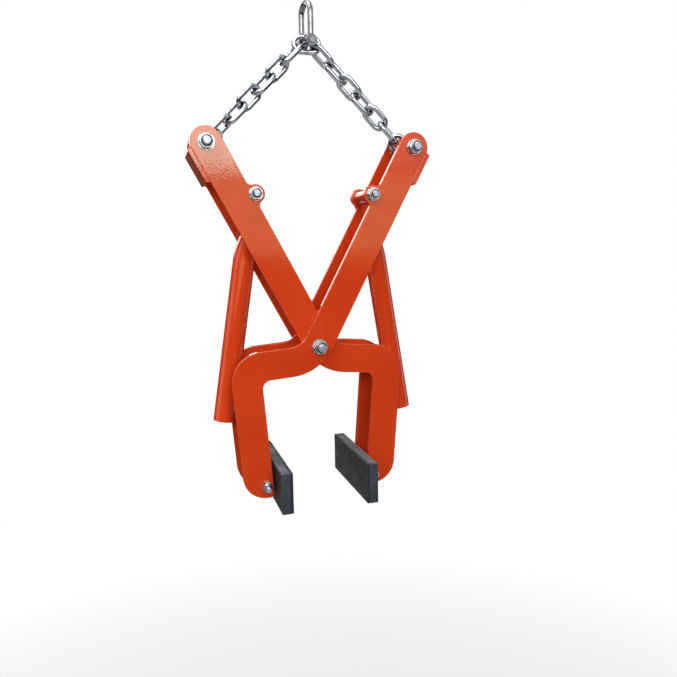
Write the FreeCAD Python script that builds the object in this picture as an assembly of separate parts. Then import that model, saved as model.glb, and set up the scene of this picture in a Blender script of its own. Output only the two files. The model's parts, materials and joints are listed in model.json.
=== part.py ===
import FreeCAD, Part
import math
import os

# Chain-hung lifting tongs: two welded scissor levers, each of two cut plates, cross at one bolt.
# A shackle carries one chain, whose ends pull on the arm tops, and pivoting pads grip at the jaws.
# Millimetres and degrees. +X to the right, +Y away from the viewer, +Z up.
# The origin is the inside top of the shackle bow, where a crane hook bears.

# Lever plates
PLATE_THICKNESS = 8.0
PLATE_WIDTH = 46.0
PLATE_EDGE_ROUND = 1.0
LEVER_INSIDE_WIDTH = 56.0
LEVER_SIDE_PLAY = 1.0

# Arm of a lever, measured from the centre pivot along and across the arm
ARM_LEAN = 28.0
ARM_LINE_OFFSET = 2.7
TOP_BOLT_ALONG_ARM = 344.7
EAR_ALONG_ARM = 248.2
EAR_BEYOND_EDGE = 3.9
EAR_RADIUS = 14.0
EAR_BLEND_RADIUS = 8.0

# Jaw of a lever, measured from the centre pivot in the jaw's own square frame
JAW_DROP = 4.4
JAW_LINE_BELOW_PIVOT = 18.4
LEG_LINE_FROM_PIVOT = 118.2
PAD_BOLT_FROM_PIVOT = 105.2
PAD_BOLT_BELOW_PIVOT = 207.3
FOOT_BELOW_PAD_BOLT = 19.1
BEND_INNER_RADIUS = 34.0
BEND_OUTER_RADIUS = 80.0
JAW_OUTER_RADIUS = 48.0
JAW_INNER_RADIUS = 13.0
FOOT_OUTER_RADIUS = 37.0
FOOT_INNER_RADIUS = 6.0

# Ties welded between the two plates of a lever
TOP_TIE_LENGTH = 52.0
TOP_TIE_ABOVE_BOLT = 2.3
TOP_TIE_THICKNESS = 6.0
TOP_TIE_ROUND = 1.5
SHOULDER_TIE_DIAMETER = 20.0

# Fold-down carrying handles
HANDLE_LENGTH = 352.0
HANDLE_DIAMETER = 33.7
HANDLE_WALL = 2.9
HANDLE_LEAN = 9.2
HANDLE_FLAT_THICKNESS = 12.0
HANDLE_FLAT_END = 30.0
HANDLE_ROUND_START = 100.0
HANDLE_SLEEVE_DIAMETER = 21.0
HANDLE_SIDE_PLAY = 0.3
HANDLE_TO_TIE = 9.4

# Grip pads
PAD_LENGTH = 180.0
PAD_HEIGHT = 64.0
PAD_BACK_TO_BOLT = 12.4
PAD_CENTRE_ABOVE_BOLT = 2.5
PAD_BLOCK_THICKNESS = 14.5
PAD_FACING_THICKNESS = 3.5
PAD_CORNER_ROUND = 2.0
BRACKET_PLATE_THICKNESS = 5.0
BRACKET_PLATE_MARGIN = 5.0
PAD_SLEEVE_DIAMETER = 17.0
PAD_SIDE_PLAY = 0.4
WEB_THICKNESS = 8.0
WEB_HEIGHT = 22.0

# Chain
LINK_WIRE = 8.0
LINK_INSIDE_LENGTH = 31.3
LINK_INSIDE_WIDTH = 14.0
LINK_ROLLS = (72, -38, 52, -30, 48, -60, 16)
LEG_SLACK = 5.4
LEFT_LINK_GAP = 0.1
LEFT_LEG_SPREAD = 0.5

# Shackle
SHACKLE_WIRE = 9.0
SHACKLE_INSIDE_LENGTH = 52.5
SHACKLE_JAW = 22.0
SHACKLE_EYE_DIAMETER = 17.0
SHACKLE_PIN_DIAMETER = 9.0
SHACKLE_PIN_PROUD = 1.0
SHACKLE_COLLAR_DIAMETER = 15.0
SHACKLE_COLLAR_LENGTH = 3.5
SHACKLE_TAB_THICKNESS = 4.5
SHACKLE_TAB_DIAMETER = 15.0
SHACKLE_TAB_HOLE = 6.0
SHACKLE_NECK_HEIGHT = 10.5
SHACKLE_TURN = 12.0

# Fasteners: thread, width across flats, head height, nut height, collar diameter, washer
LARGE_THREAD = 12.0
LARGE_FLATS = 19.0
LARGE_HEAD = 7.5
LARGE_NUT = 12.0
LARGE_COLLAR = 16.6
LARGE_WASHER = 24.0
SMALL_THREAD = 10.0
SMALL_FLATS = 17.0
SMALL_HEAD = 6.4
SMALL_NUT = 10.0
SMALL_COLLAR = 14.4
SMALL_WASHER = 21.0
PAD_THREAD = 8.0
PAD_FLATS = 13.0
PAD_HEAD = 5.3
PAD_NUT = 8.0
PAD_COLLAR = 11.6
PAD_WASHER = 16.0
WASHER_THICKNESS = 2.2
NUT_HEX_SHARE = 0.68
BOLT_END_PROUD = 3.0
PIVOT_BOLT_END_PROUD = 8.0
PAD_BOLT_END_PROUD = 10.0
TOP_SLEEVE_DIAMETER = 20.0
TOP_SLEEVE_TO_LINK = 0.6
PIVOT_SLEEVE_DIAMETER = 22.0
SHIM_DIAMETER = 40.0

# Fits
RUNNING_CLEARANCE = 0.05
FACE_CLEARANCE = 0.1
CURVED_CLEARANCE = 0.3

# Depth of each plate: the two levers are the same piece, one turned half round about Z
LEVER_STEP = PLATE_THICKNESS + LEVER_SIDE_PLAY
LEVER_DEPTH = LEVER_INSIDE_WIDTH + 2 * PLATE_THICKNESS
STACK_DEPTH = LEVER_DEPTH + LEVER_STEP
RIGHT_FRONT = -STACK_DEPTH / 2
RIGHT_INSIDE_FRONT = RIGHT_FRONT + PLATE_THICKNESS
RIGHT_INSIDE_REAR = RIGHT_INSIDE_FRONT + LEVER_INSIDE_WIDTH
RIGHT_REAR = RIGHT_FRONT + LEVER_DEPTH
LEVER_FRONT = {"right": RIGHT_FRONT, "left": -RIGHT_REAR}
LEVER_REAR = {"right": RIGHT_REAR, "left": -RIGHT_FRONT}
SIDE_SIGN = {"right": 1, "left": -1}

Y_AXIS = FreeCAD.Vector(0, 1, 0)
Z_AXIS = FreeCAD.Vector(0, 0, 1)
ORIGIN = FreeCAD.Vector(0, 0, 0)

nodes = {}


def point(x, z, y=0.0):
    return FreeCAD.Vector(x, y, z)


def turned(shape):
    """The same piece turned half round about the tongs' vertical axis."""
    copy = shape.copy()
    copy.rotate(ORIGIN, Z_AXIS, 180)
    return copy


def on_side(shape, side):
    return shape if side == "right" else turned(shape)


# Places in the lever plane, from the centre pivot; the right lever has its arm right and its jaw left
ARM_SIN = math.sin(math.radians(ARM_LEAN))
ARM_COS = math.cos(math.radians(ARM_LEAN))
JAW_SIN = math.sin(math.radians(JAW_DROP))
JAW_COS = math.cos(math.radians(JAW_DROP))


def arm_place(along, across):
    """A point on the arm: along it from the pivot, and across it towards its inner edge."""
    return point(along * ARM_SIN - across * ARM_COS, along * ARM_COS + across * ARM_SIN)


def jaw_place(out, up):
    """A point on the jaw: outwards from the pivot, and up from it, in the jaw's square frame."""
    return point(-out * JAW_COS - up * JAW_SIN, -out * JAW_SIN + up * JAW_COS)


ARM_INNER = ARM_LINE_OFFSET + PLATE_WIDTH / 2
ARM_OUTER = ARM_LINE_OFFSET - PLATE_WIDTH / 2
ARM_END = TOP_BOLT_ALONG_ARM + PLATE_WIDTH / 2
EAR_ACROSS = ARM_INNER + EAR_BEYOND_EDGE
JAW_TOP = -JAW_LINE_BELOW_PIVOT + PLATE_WIDTH / 2
JAW_BOTTOM = -JAW_LINE_BELOW_PIVOT - PLATE_WIDTH / 2
LEG_OUTER = LEG_LINE_FROM_PIVOT + PLATE_WIDTH / 2
LEG_INNER = LEG_LINE_FROM_PIVOT - PLATE_WIDTH / 2
FOOT_BOTTOM = -PAD_BOLT_BELOW_PIVOT - FOOT_BELOW_PAD_BOLT

TOP_BOLT = arm_place(TOP_BOLT_ALONG_ARM, ARM_LINE_OFFSET)
EAR_BOLT = arm_place(EAR_ALONG_ARM, EAR_ACROSS)
PAD_BOLT = jaw_place(PAD_BOLT_FROM_PIVOT, -PAD_BOLT_BELOW_PIVOT)

# Chain run: a leg slides round the end of the centre link, so it turns about that end's centre
WIRE_RADIUS = LINK_WIRE / 2
CROWN_RADIUS = (LINK_INSIDE_WIDTH + LINK_WIRE) / 2
CROWN_FROM_CENTRE = (LINK_INSIDE_LENGTH - LINK_INSIDE_WIDTH) / 2
LINKS_PER_LEG = len(LINK_ROLLS)
TAUT_LEG = CROWN_RADIUS - WIRE_RADIUS + LINKS_PER_LEG * LINK_INSIDE_LENGTH - LARGE_THREAD / 2
LEG_LENGTH = TAUT_LEG - LEG_SLACK
LEG_ACROSS = TOP_BOLT.x - CROWN_FROM_CENTRE
LEG_DOWN = math.sqrt(LEG_LENGTH ** 2 - LEG_ACROSS ** 2)
LEG_ANGLE = math.degrees(math.atan2(LEG_ACROSS, LEG_DOWN))

# Heights from the hook seat
PIN_Z = -SHACKLE_INSIDE_LENGTH
CENTRE_LINK_Z = PIN_Z - (LINK_INSIDE_WIDTH - SHACKLE_PIN_DIAMETER) / 2 + CURVED_CLEARANCE
PIVOT_Z = CENTRE_LINK_Z - LEG_DOWN - TOP_BOLT.z
PIVOT = FreeCAD.Vector(0, 0, PIVOT_Z)


def rounded_outline(corners):
    """A closed outline through corner points, each rounded by its own radius."""
    starts = []
    edges = []
    count = len(corners)
    for i in range(count):
        corner, radius = corners[i]
        to_last = (corners[i - 1][0] - corner).normalize()
        to_next = (corners[(i + 1) % count][0] - corner).normalize()
        half_angle = to_last.getAngle(to_next) / 2
        tangent = radius / math.tan(half_angle)
        bisector = (to_last + to_next).normalize()
        middle = corner + bisector * (radius / math.sin(half_angle) - radius)
        starts.append((corner + to_last * tangent, middle, corner + to_next * tangent))
    for i in range(count):
        first, middle, last = starts[i]
        following = starts[(i + 1) % count][0]
        edges.append(Part.Arc(first, middle, last).toShape())
        if (following - last).Length > FACE_CLEARANCE / 100:
            edges.append(Part.LineSegment(last, following).toShape())
    return Part.Wire(edges)


def ear_outline():
    """The round ear on the arm's inner edge, with its two hollow blends."""
    blend_centre_across = ARM_INNER + EAR_BLEND_RADIUS
    reach = EAR_RADIUS + EAR_BLEND_RADIUS
    rise = EAR_BLEND_RADIUS - EAR_BEYOND_EDGE
    half_length = math.sqrt(reach ** 2 - rise ** 2)
    centre = arm_place(EAR_ALONG_ARM, EAR_ACROSS)
    tip = arm_place(EAR_ALONG_ARM, EAR_ACROSS + EAR_RADIUS)
    feet = []
    joins = []
    middles = []
    for sign in (-1, 1):
        blend_centre = arm_place(EAR_ALONG_ARM + sign * half_length, blend_centre_across)
        foot = arm_place(EAR_ALONG_ARM + sign * half_length, ARM_INNER)
        join = blend_centre + (centre - blend_centre).normalize() * EAR_BLEND_RADIUS
        chord = ((foot - blend_centre) + (join - blend_centre)).normalize()
        feet.append(foot)
        joins.append(join)
        middles.append(blend_centre + chord * EAR_BLEND_RADIUS)
    root = [arm_place(EAR_ALONG_ARM + sign * half_length, ARM_LINE_OFFSET) for sign in (1, -1)]
    edges = [
        Part.Arc(feet[0], middles[0], joins[0]).toShape(),
        Part.Arc(joins[0], tip, joins[1]).toShape(),
        Part.Arc(joins[1], middles[1], feet[1]).toShape(),
        Part.LineSegment(feet[1], root[0]).toShape(),
        Part.LineSegment(root[0], root[1]).toShape(),
        Part.LineSegment(root[1], feet[0]).toShape(),
    ]
    return Part.Wire(edges)


def cylinder(place, diameter, y_from, y_to):
    """A round bar along Y at a place in the lever plane."""
    start = FreeCAD.Vector(place.x, y_from, place.z)
    return Part.makeCylinder(diameter / 2, y_to - y_from, start, Y_AXIS)


def ring(place, outside, inside, y_from, y_to):
    return cylinder(place, outside, y_from, y_to).cut(cylinder(place, inside, y_from, y_to))


def hole_for(thread):
    return thread + 2 * RUNNING_CLEARANCE


def face_edges(solid, y_low, y_high):
    """The edges that lie in the two flat faces of a plate standing across Y."""
    found = []
    for edge in solid.Edges:
        box = edge.BoundBox
        flat = box.YLength < FACE_CLEARANCE
        if flat and (abs(box.YMin - y_low) < FACE_CLEARANCE or abs(box.YMax - y_high) < FACE_CLEARANCE):
            found.append(edge)
    return found


def crossing(across, up):
    """Where an edge along the arm meets an edge along the jaw."""
    start = arm_place(0, across)
    run = arm_place(1, 0)
    height = -start.x * JAW_SIN + start.z * JAW_COS
    climb = -run.x * JAW_SIN + run.z * JAW_COS
    return arm_place((up - height) / climb, across)


def lever_plate(y_front):
    """One cut plate of the right lever, round-edged, with its four bolt holes."""
    arm_top = PLATE_WIDTH / 2
    corners = [
        (arm_place(ARM_END, ARM_OUTER), arm_top),
        (arm_place(ARM_END, ARM_INNER), arm_top),
        (crossing(ARM_INNER, JAW_TOP), BEND_INNER_RADIUS),
        (jaw_place(LEG_OUTER, JAW_TOP), JAW_OUTER_RADIUS),
        (jaw_place(LEG_OUTER, FOOT_BOTTOM), FOOT_OUTER_RADIUS),
        (jaw_place(LEG_INNER, FOOT_BOTTOM), FOOT_INNER_RADIUS),
        (jaw_place(LEG_INNER, JAW_BOTTOM), JAW_INNER_RADIUS),
        (crossing(ARM_OUTER, JAW_BOTTOM), BEND_OUTER_RADIUS),
    ]
    depth = Y_AXIS * PLATE_THICKNESS
    band = Part.Face(rounded_outline(corners)).extrude(depth)
    ear = Part.Face(ear_outline()).extrude(depth)
    plate = band.fuse(ear).removeSplitter()
    plate = plate.makeFillet(PLATE_EDGE_ROUND, face_edges(plate, 0, PLATE_THICKNESS))
    holes = [
        (TOP_BOLT, LARGE_THREAD),
        (EAR_BOLT, SMALL_THREAD),
        (ORIGIN, LARGE_THREAD),
        (PAD_BOLT, PAD_THREAD),
    ]
    for place, thread in holes:
        plate = plate.cut(cylinder(place, hole_for(thread), -PLATE_THICKNESS, 2 * PLATE_THICKNESS))
    plate.translate(FreeCAD.Vector(0, y_front, PIVOT_Z))
    return plate


def top_tie():
    """Flat bar welded across the outer edges of an arm, below its top bolt."""
    high = TOP_BOLT_ALONG_ARM + TOP_TIE_ABOVE_BOLT
    low = high - TOP_TIE_LENGTH
    outer = ARM_OUTER - TOP_TIE_THICKNESS
    corners = [
        (arm_place(low, outer), TOP_TIE_ROUND),
        (arm_place(high, outer), TOP_TIE_ROUND),
        (arm_place(high, ARM_OUTER), TOP_TIE_ROUND / 2),
        (arm_place(low, ARM_OUTER), TOP_TIE_ROUND / 2),
    ]
    bar = Part.Face(rounded_outline(corners)).extrude(Y_AXIS * LEVER_DEPTH)
    bar.translate(FreeCAD.Vector(0, RIGHT_FRONT, PIVOT_Z))
    return bar


def shoulder_tie():
    """Round bar welded between a lever's plates at its jaw shoulder, clear of the other lever's handle."""
    lean = math.radians(HANDLE_LEAN)
    inward = point(math.cos(lean), -math.sin(lean))
    other_ear = point(-EAR_BOLT.x, EAR_BOLT.z)
    needed = HANDLE_DIAMETER / 2 + SHOULDER_TIE_DIAMETER / 2 + HANDLE_TO_TIE
    level = -JAW_LINE_BELOW_PIVOT
    near = (jaw_place(0, level) - other_ear).dot(inward)
    per_mm = jaw_place(1, level).dot(inward) - jaw_place(0, level).dot(inward)
    place = jaw_place((needed - near) / per_mm, level) + PIVOT
    return cylinder(place, SHOULDER_TIE_DIAMETER, RIGHT_INSIDE_FRONT, RIGHT_INSIDE_REAR)


def hexagon(flats, y_from, y_to):
    """A hexagon bar along Y with both ends turned to a chamfer."""
    corner = flats / 2 / math.cos(math.radians(30))
    turns = [math.radians(60 * i) for i in range(7)]
    corners = [point(corner * math.cos(turn), corner * math.sin(turn), y_from) for turn in turns]
    length = y_to - y_from
    prism = Part.Face(Part.makePolygon(corners)).extrude(Y_AXIS * length)
    drop = (corner - flats / 2) * math.tan(math.radians(30))
    profile = Part.makePolygon([
        FreeCAD.Vector(0, y_from, 0),
        FreeCAD.Vector(flats / 2, y_from, 0),
        FreeCAD.Vector(corner, y_from + drop, 0),
        FreeCAD.Vector(corner, y_from + length - drop, 0),
        FreeCAD.Vector(flats / 2, y_to, 0),
        FreeCAD.Vector(0, y_to, 0),
        FreeCAD.Vector(0, y_from, 0),
    ])
    return prism.common(Part.Face(profile).revolve(ORIGIN, Y_AXIS, 360))


def bolt(place, thread, flats, head, y_seat, y_tip):
    """A hexagon bolt with its head at the rear seat and its chamfered tip at the front."""
    tip_chamfer = thread / 10
    shank = Part.makeCylinder(thread / 2, y_seat - y_tip, FreeCAD.Vector(0, y_tip, 0), Y_AXIS)
    tip_edge = [e for e in shank.Edges if e.BoundBox.YMax < y_tip + FACE_CLEARANCE]
    shank = shank.makeChamfer(tip_chamfer, tip_edge)
    solid = shank.fuse(hexagon(flats, y_seat, y_seat + head)).removeSplitter()
    solid.translate(place)
    return solid


def locknut(place, thread, flats, height, collar, y_seat):
    """A hexagon nut with a round locking collar, seated on a front washer."""
    hex_front = y_seat - height * NUT_HEX_SHARE
    body = hexagon(flats, hex_front, y_seat)
    rim = Part.makeCylinder(collar / 2, height, FreeCAD.Vector(0, y_seat - height, 0), Y_AXIS)
    rim_edge = [e for e in rim.Edges if e.BoundBox.YMax < y_seat - height + FACE_CLEARANCE]
    rim = rim.makeFillet((collar - thread) / 4, rim_edge)
    solid = body.fuse(rim).removeSplitter()
    solid = solid.cut(cylinder(ORIGIN, hole_for(thread), y_seat - 2 * height, y_seat + height))
    solid.translate(place)
    return solid


def fasteners(prefix, place, size, front_face, rear_face, proud):
    """One bolt through a lever with its nut; returns the two washers under them."""
    thread, flats, head, nut, collar, washer = size
    nut_seat = front_face - WASHER_THICKNESS
    head_seat = rear_face + WASHER_THICKNESS
    nodes[prefix + "_bolt"] = bolt(place, thread, flats, head, head_seat, nut_seat - nut - proud)
    nodes[prefix + "_locknut"] = locknut(place, thread, flats, nut, collar, nut_seat)
    return [
        ring(place, washer, hole_for(thread), nut_seat, front_face),
        ring(place, washer, hole_for(thread), rear_face, head_seat),
    ]


LARGE = (LARGE_THREAD, LARGE_FLATS, LARGE_HEAD, LARGE_NUT, LARGE_COLLAR, LARGE_WASHER)
SMALL = (SMALL_THREAD, SMALL_FLATS, SMALL_HEAD, SMALL_NUT, SMALL_COLLAR, SMALL_WASHER)
PAD = (PAD_THREAD, PAD_FLATS, PAD_HEAD, PAD_NUT, PAD_COLLAR, PAD_WASHER)
OPPOSITE = {"right": "left", "left": "right"}


def at_side(place, side):
    """A place of the right lever, put where it lies on either lever."""
    return point(SIDE_SIGN[side] * place.x, place.z) + PIVOT


def build_lever(side):
    """Plates, ties, sleeves and fasteners of one lever."""
    name = side + "_lever"
    front = lever_plate(RIGHT_FRONT)
    rear = lever_plate(RIGHT_INSIDE_REAR)
    if side == "left":
        front, rear = turned(rear), turned(front)
    nodes[name + "_front_plate"] = front
    nodes[name + "_rear_plate"] = rear
    nodes[name + "_top_tie"] = on_side(top_tie(), side)
    nodes[name + "_shoulder_tie"] = on_side(shoulder_tie(), side)

    front_face = LEVER_FRONT[side]
    rear_face = LEVER_REAR[side]
    top = at_side(TOP_BOLT, side)
    washers = fasteners(side + "_top", top, LARGE, front_face, rear_face, BOLT_END_PROUD)
    washers += fasteners(side + "_ear", at_side(EAR_BOLT, side), SMALL, front_face, rear_face, BOLT_END_PROUD)
    pad = at_side(PAD_BOLT, side)
    washers += fasteners(OPPOSITE[side] + "_pad", pad, PAD, front_face, rear_face, PAD_BOLT_END_PROUD)
    nodes[name + "_washers"] = Part.makeCompound(washers)

    bore = hole_for(LARGE_THREAD)
    end_roll = math.radians(abs(LINK_ROLLS[-1]))
    link_side = CROWN_RADIUS * math.sin(end_roll) + WIRE_RADIUS + TOP_SLEEVE_TO_LINK
    nodes[side + "_top_sleeves"] = Part.makeCompound([
        ring(top, TOP_SLEEVE_DIAMETER, bore, front_face + PLATE_THICKNESS, -link_side),
        ring(top, TOP_SLEEVE_DIAMETER, bore, link_side, rear_face - PLATE_THICKNESS),
    ])


def build_pivot():
    """The centre bolt, on which both levers turn."""
    front_face = LEVER_FRONT["right"]
    rear_face = LEVER_REAR["left"]
    seat = rear_face + FACE_CLEARANCE
    washers = fasteners("pivot", PIVOT, LARGE, front_face, seat, PIVOT_BOLT_END_PROUD)
    nodes["pivot_washers"] = Part.makeCompound(washers)
    bore = hole_for(LARGE_THREAD)
    shim_faces = [
        (RIGHT_INSIDE_FRONT, LEVER_FRONT["left"] - FACE_CLEARANCE),
        (RIGHT_REAR, LEVER_REAR["left"] - PLATE_THICKNESS - FACE_CLEARANCE),
    ]
    shims = [ring(PIVOT, SHIM_DIAMETER, bore, y_from, y_to) for y_from, y_to in shim_faces]
    nodes["pivot_shims"] = Part.makeCompound(shims)
    sleeve_front = LEVER_FRONT["left"] + PLATE_THICKNESS + FACE_CLEARANCE
    nodes["pivot_sleeve"] = ring(PIVOT, PIVOT_SLEEVE_DIAMETER, bore, sleeve_front, RIGHT_INSIDE_REAR)


def oval_wire(half_thickness, half_width, drop):
    """An oval section of the handle tube, wide across Y, a distance below its bolt."""
    centre = FreeCAD.Vector(0, 0, -drop)
    oval = Part.Ellipse(centre + Y_AXIS * half_width, centre + point(half_thickness, 0), centre)
    return Part.Wire([oval.toShape()])


def handle_neck(inset):
    """The outer form of a handle's pressed top, or its bore where inset is the wall: flat, then neck."""
    round_half = HANDLE_DIAMETER / 2
    flat_half = HANDLE_FLAT_THICKNESS / 2
    pressed_width = math.sqrt(2 * round_half ** 2 - flat_half ** 2)
    flat_width = min(pressed_width, LEVER_INSIDE_WIDTH / 2 - 2 * HANDLE_SIDE_PLAY)
    neck_steps = 6
    wires = []
    for i in range(neck_steps + 1):
        share = i / neck_steps
        ease = share * share * (3 - 2 * share)
        thick = flat_half + (round_half - flat_half) * ease
        wide = flat_width + (round_half - flat_width) * ease
        drop = HANDLE_FLAT_END + (HANDLE_ROUND_START - HANDLE_FLAT_END) * share
        wires.append(oval_wire(thick - inset, wide - inset, drop))
    flat = Part.Face(wires[0]).extrude(Z_AXIS * HANDLE_FLAT_END)
    return flat.fuse(Part.makeLoft(wires, True))


def handle_grip(inset):
    """The outer form of a handle's round tube below its neck, or its bore where inset is the wall."""
    low_end = FreeCAD.Vector(0, 0, -HANDLE_LENGTH)
    length = HANDLE_LENGTH - HANDLE_ROUND_START
    return Part.makeCylinder(HANDLE_DIAMETER / 2 - inset, length, low_end, Z_AXIS)


def build_handle(side):
    """A tube, as neck and grip, with its top pressed flat and welded to a sleeve on the ear bolt."""
    middle = (RIGHT_INSIDE_FRONT + RIGHT_INSIDE_REAR) / 2
    half = LEVER_INSIDE_WIDTH / 2 - HANDLE_SIDE_PLAY
    place = EAR_BOLT + PIVOT
    neck = handle_neck(0).cut(handle_neck(HANDLE_WALL))
    neck = neck.cut(cylinder(ORIGIN, HANDLE_SLEEVE_DIAMETER, -half, half))
    grip = handle_grip(0).cut(handle_grip(HANDLE_WALL))
    for piece, solid in (("neck", neck), ("tube", grip)):
        solid.rotate(ORIGIN, Y_AXIS, -HANDLE_LEAN)
        solid.translate(FreeCAD.Vector(place.x, middle, place.z))
        nodes[side + "_handle_" + piece] = on_side(solid, side)
    bore = hole_for(SMALL_THREAD)
    sleeve = ring(place, HANDLE_SLEEVE_DIAMETER, bore, middle - half, middle + half)
    nodes[side + "_handle_sleeve"] = on_side(sleeve, side)


def pad_box(x_from, x_to, margin):
    """A block of the pad's length and height, less a margin all round."""
    height = PAD_HEIGHT - 2 * margin
    length = PAD_LENGTH - 2 * margin
    corner = FreeCAD.Vector(x_from, -length / 2, PAD_CENTRE_ABOVE_BOLT - height / 2)
    return Part.makeBox(x_to - x_from, length, height, corner)


def long_edges(solid):
    """The edges of a pad block that run along X, at its corners."""
    found = []
    for edge in solid.Edges:
        box = edge.BoundBox
        if max(box.YLength, box.ZLength) < FACE_CLEARANCE:
            found.append(edge)
    return found


def build_pad(side):
    """A rubber grip block on a bracket that tilts on a bolt; the pad lies opposite its lever's arm."""
    place = PAD_BOLT + PIVOT
    back = PAD_BACK_TO_BOLT
    block_face = back + PAD_BLOCK_THICKNESS
    face = block_face + PAD_FACING_THICKNESS
    plate = pad_box(back, back + BRACKET_PLATE_THICKNESS, BRACKET_PLATE_MARGIN)
    block = pad_box(back, block_face, 0)
    block = block.makeFillet(PAD_CORNER_ROUND, long_edges(block)).cut(plate)
    facing = pad_box(block_face, face, 0)
    facing = facing.makeFillet(PAD_CORNER_ROUND, long_edges(facing))

    sleeve_front = RIGHT_INSIDE_FRONT + PAD_SIDE_PLAY
    sleeve_rear = RIGHT_INSIDE_REAR - PAD_SIDE_PLAY
    sleeve = ring(ORIGIN, PAD_SLEEVE_DIAMETER, hole_for(PAD_THREAD), sleeve_front, sleeve_rear)
    bracket = plate
    for web_front in (sleeve_front, sleeve_rear - WEB_THICKNESS):
        corner = FreeCAD.Vector(0, web_front, -WEB_HEIGHT / 2)
        bracket = bracket.fuse(Part.makeBox(back, WEB_THICKNESS, WEB_HEIGHT, corner))
    bracket = bracket.removeSplitter()
    bracket = bracket.cut(cylinder(ORIGIN, PAD_SLEEVE_DIAMETER, sleeve_front, sleeve_rear))
    pieces = {"bracket": bracket, "sleeve": sleeve, "block": block, "facing": facing}
    for piece, solid in pieces.items():
        solid.translate(place)
        nodes[OPPOSITE[side] + "_pad_" + piece] = on_side(solid, side)


def chain_link():
    """One round-wire link, long along Z and flat across Y, about the origin."""
    circle = Part.Circle(point(CROWN_RADIUS, CROWN_FROM_CENTRE), Z_AXIS, WIRE_RADIUS)
    section = Part.Face(Part.Wire([circle.toShape()]))
    side_bar = section.extrude(Z_AXIS * (-2 * CROWN_FROM_CENTRE))
    crown = section.revolve(point(0, CROWN_FROM_CENTRE), Y_AXIS, -180)
    half = side_bar.fuse(crown)
    other = half.copy()
    other.rotate(ORIGIN, Y_AXIS, 180)
    return half.fuse(other).removeSplitter()


def build_chain():
    """A centre link on the shackle pin, and a leg of links from each of its ends to an arm top."""
    centre = chain_link()
    centre.rotate(ORIGIN, Y_AXIS, 90)
    centre.translate(FreeCAD.Vector(0, 0, CENTRE_LINK_Z))
    nodes["chain_centre_link"] = centre

    start = FreeCAD.Vector(CROWN_FROM_CENTRE, 0, CENTRE_LINK_Z)
    first = CROWN_RADIUS - WIRE_RADIUS - CURVED_CLEARANCE + LINK_INSIDE_LENGTH / 2
    last = LEG_LENGTH + LARGE_THREAD / 2 + CURVED_CLEARANCE - LINK_INSIDE_LENGTH / 2
    right_step = (last - first) / (LINKS_PER_LEG - 1)
    left_step = LINK_INSIDE_LENGTH - LEFT_LINK_GAP
    for side, step, spread in (("right", right_step, 0.0), ("left", left_step, LEFT_LEG_SPREAD)):
        for i in range(LINKS_PER_LEG):
            end_link = i == LINKS_PER_LEG - 1
            along = last if end_link else first + i * step
            angle = LEG_ANGLE if end_link else LEG_ANGLE + spread
            lean = math.radians(angle)
            link = chain_link()
            link.rotate(ORIGIN, Z_AXIS, -LINK_ROLLS[i])
            link.rotate(ORIGIN, Y_AXIS, -angle)
            link.translate(start + point(math.sin(lean), -math.cos(lean)) * along)
            nodes["%s_link_%d" % (side, i + 1)] = on_side(link, side)


def build_shackle():
    """A long dee shackle, its pin screwed in from the rear, turned a little about Z."""
    leg_middle = (SHACKLE_JAW + SHACKLE_WIRE) / 2
    outer = leg_middle + SHACKLE_WIRE / 2
    bow_centre = FreeCAD.Vector(0, 0, SHACKLE_WIRE / 2 - leg_middle)
    pin_place = FreeCAD.Vector(0, 0, PIN_Z)
    section = Part.Circle(bow_centre + Y_AXIS * leg_middle, Z_AXIS, SHACKLE_WIRE / 2)
    bow = Part.Face(Part.Wire([section.toShape()])).revolve(bow_centre, FreeCAD.Vector(1, 0, 0), 180)
    for sign in (1, -1):
        foot = FreeCAD.Vector(0, sign * leg_middle, PIN_Z)
        bow = bow.fuse(Part.makeCylinder(SHACKLE_WIRE / 2, bow_centre.z - PIN_Z, foot, Z_AXIS))
        eye_from = sign * leg_middle - SHACKLE_WIRE / 2
        bow = bow.fuse(cylinder(pin_place, SHACKLE_EYE_DIAMETER, eye_from, eye_from + SHACKLE_WIRE))
    bow = bow.cut(cylinder(pin_place, hole_for(SHACKLE_PIN_DIAMETER), -2 * outer, 2 * outer)).removeSplitter()

    collar_end = outer + SHACKLE_COLLAR_LENGTH
    tab_radius = SHACKLE_TAB_DIAMETER / 2
    tab_start = FreeCAD.Vector(-SHACKLE_TAB_THICKNESS / 2, collar_end + tab_radius, 0)
    x_axis = FreeCAD.Vector(1, 0, 0)
    neck_corner = FreeCAD.Vector(-SHACKLE_TAB_THICKNESS / 2, collar_end, -SHACKLE_NECK_HEIGHT / 2)
    tab = Part.makeCylinder(tab_radius, SHACKLE_TAB_THICKNESS, tab_start, x_axis)
    tab = tab.fuse(Part.makeBox(SHACKLE_TAB_THICKNESS, tab_radius, SHACKLE_NECK_HEIGHT, neck_corner))
    tab = tab.cut(Part.makeCylinder(SHACKLE_TAB_HOLE / 2, SHACKLE_TAB_THICKNESS, tab_start, x_axis))
    pin = cylinder(ORIGIN, SHACKLE_PIN_DIAMETER, -outer - SHACKLE_PIN_PROUD, outer)
    pin = pin.fuse(cylinder(ORIGIN, SHACKLE_COLLAR_DIAMETER, outer, collar_end)).fuse(tab).removeSplitter()
    pin.translate(pin_place)
    for piece, solid in (("bow", bow), ("pin", pin)):
        solid.rotate(ORIGIN, Z_AXIS, SHACKLE_TURN)
        nodes["shackle_" + piece] = solid


build_shackle()
build_chain()
for lever_side in ("right", "left"):
    build_lever(lever_side)
    build_handle(lever_side)
    build_pad(lever_side)
build_pivot()

os.makedirs("parts", exist_ok=True)
for node, shape in nodes.items():
    shape.exportStep("parts/" + node + ".step")

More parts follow.
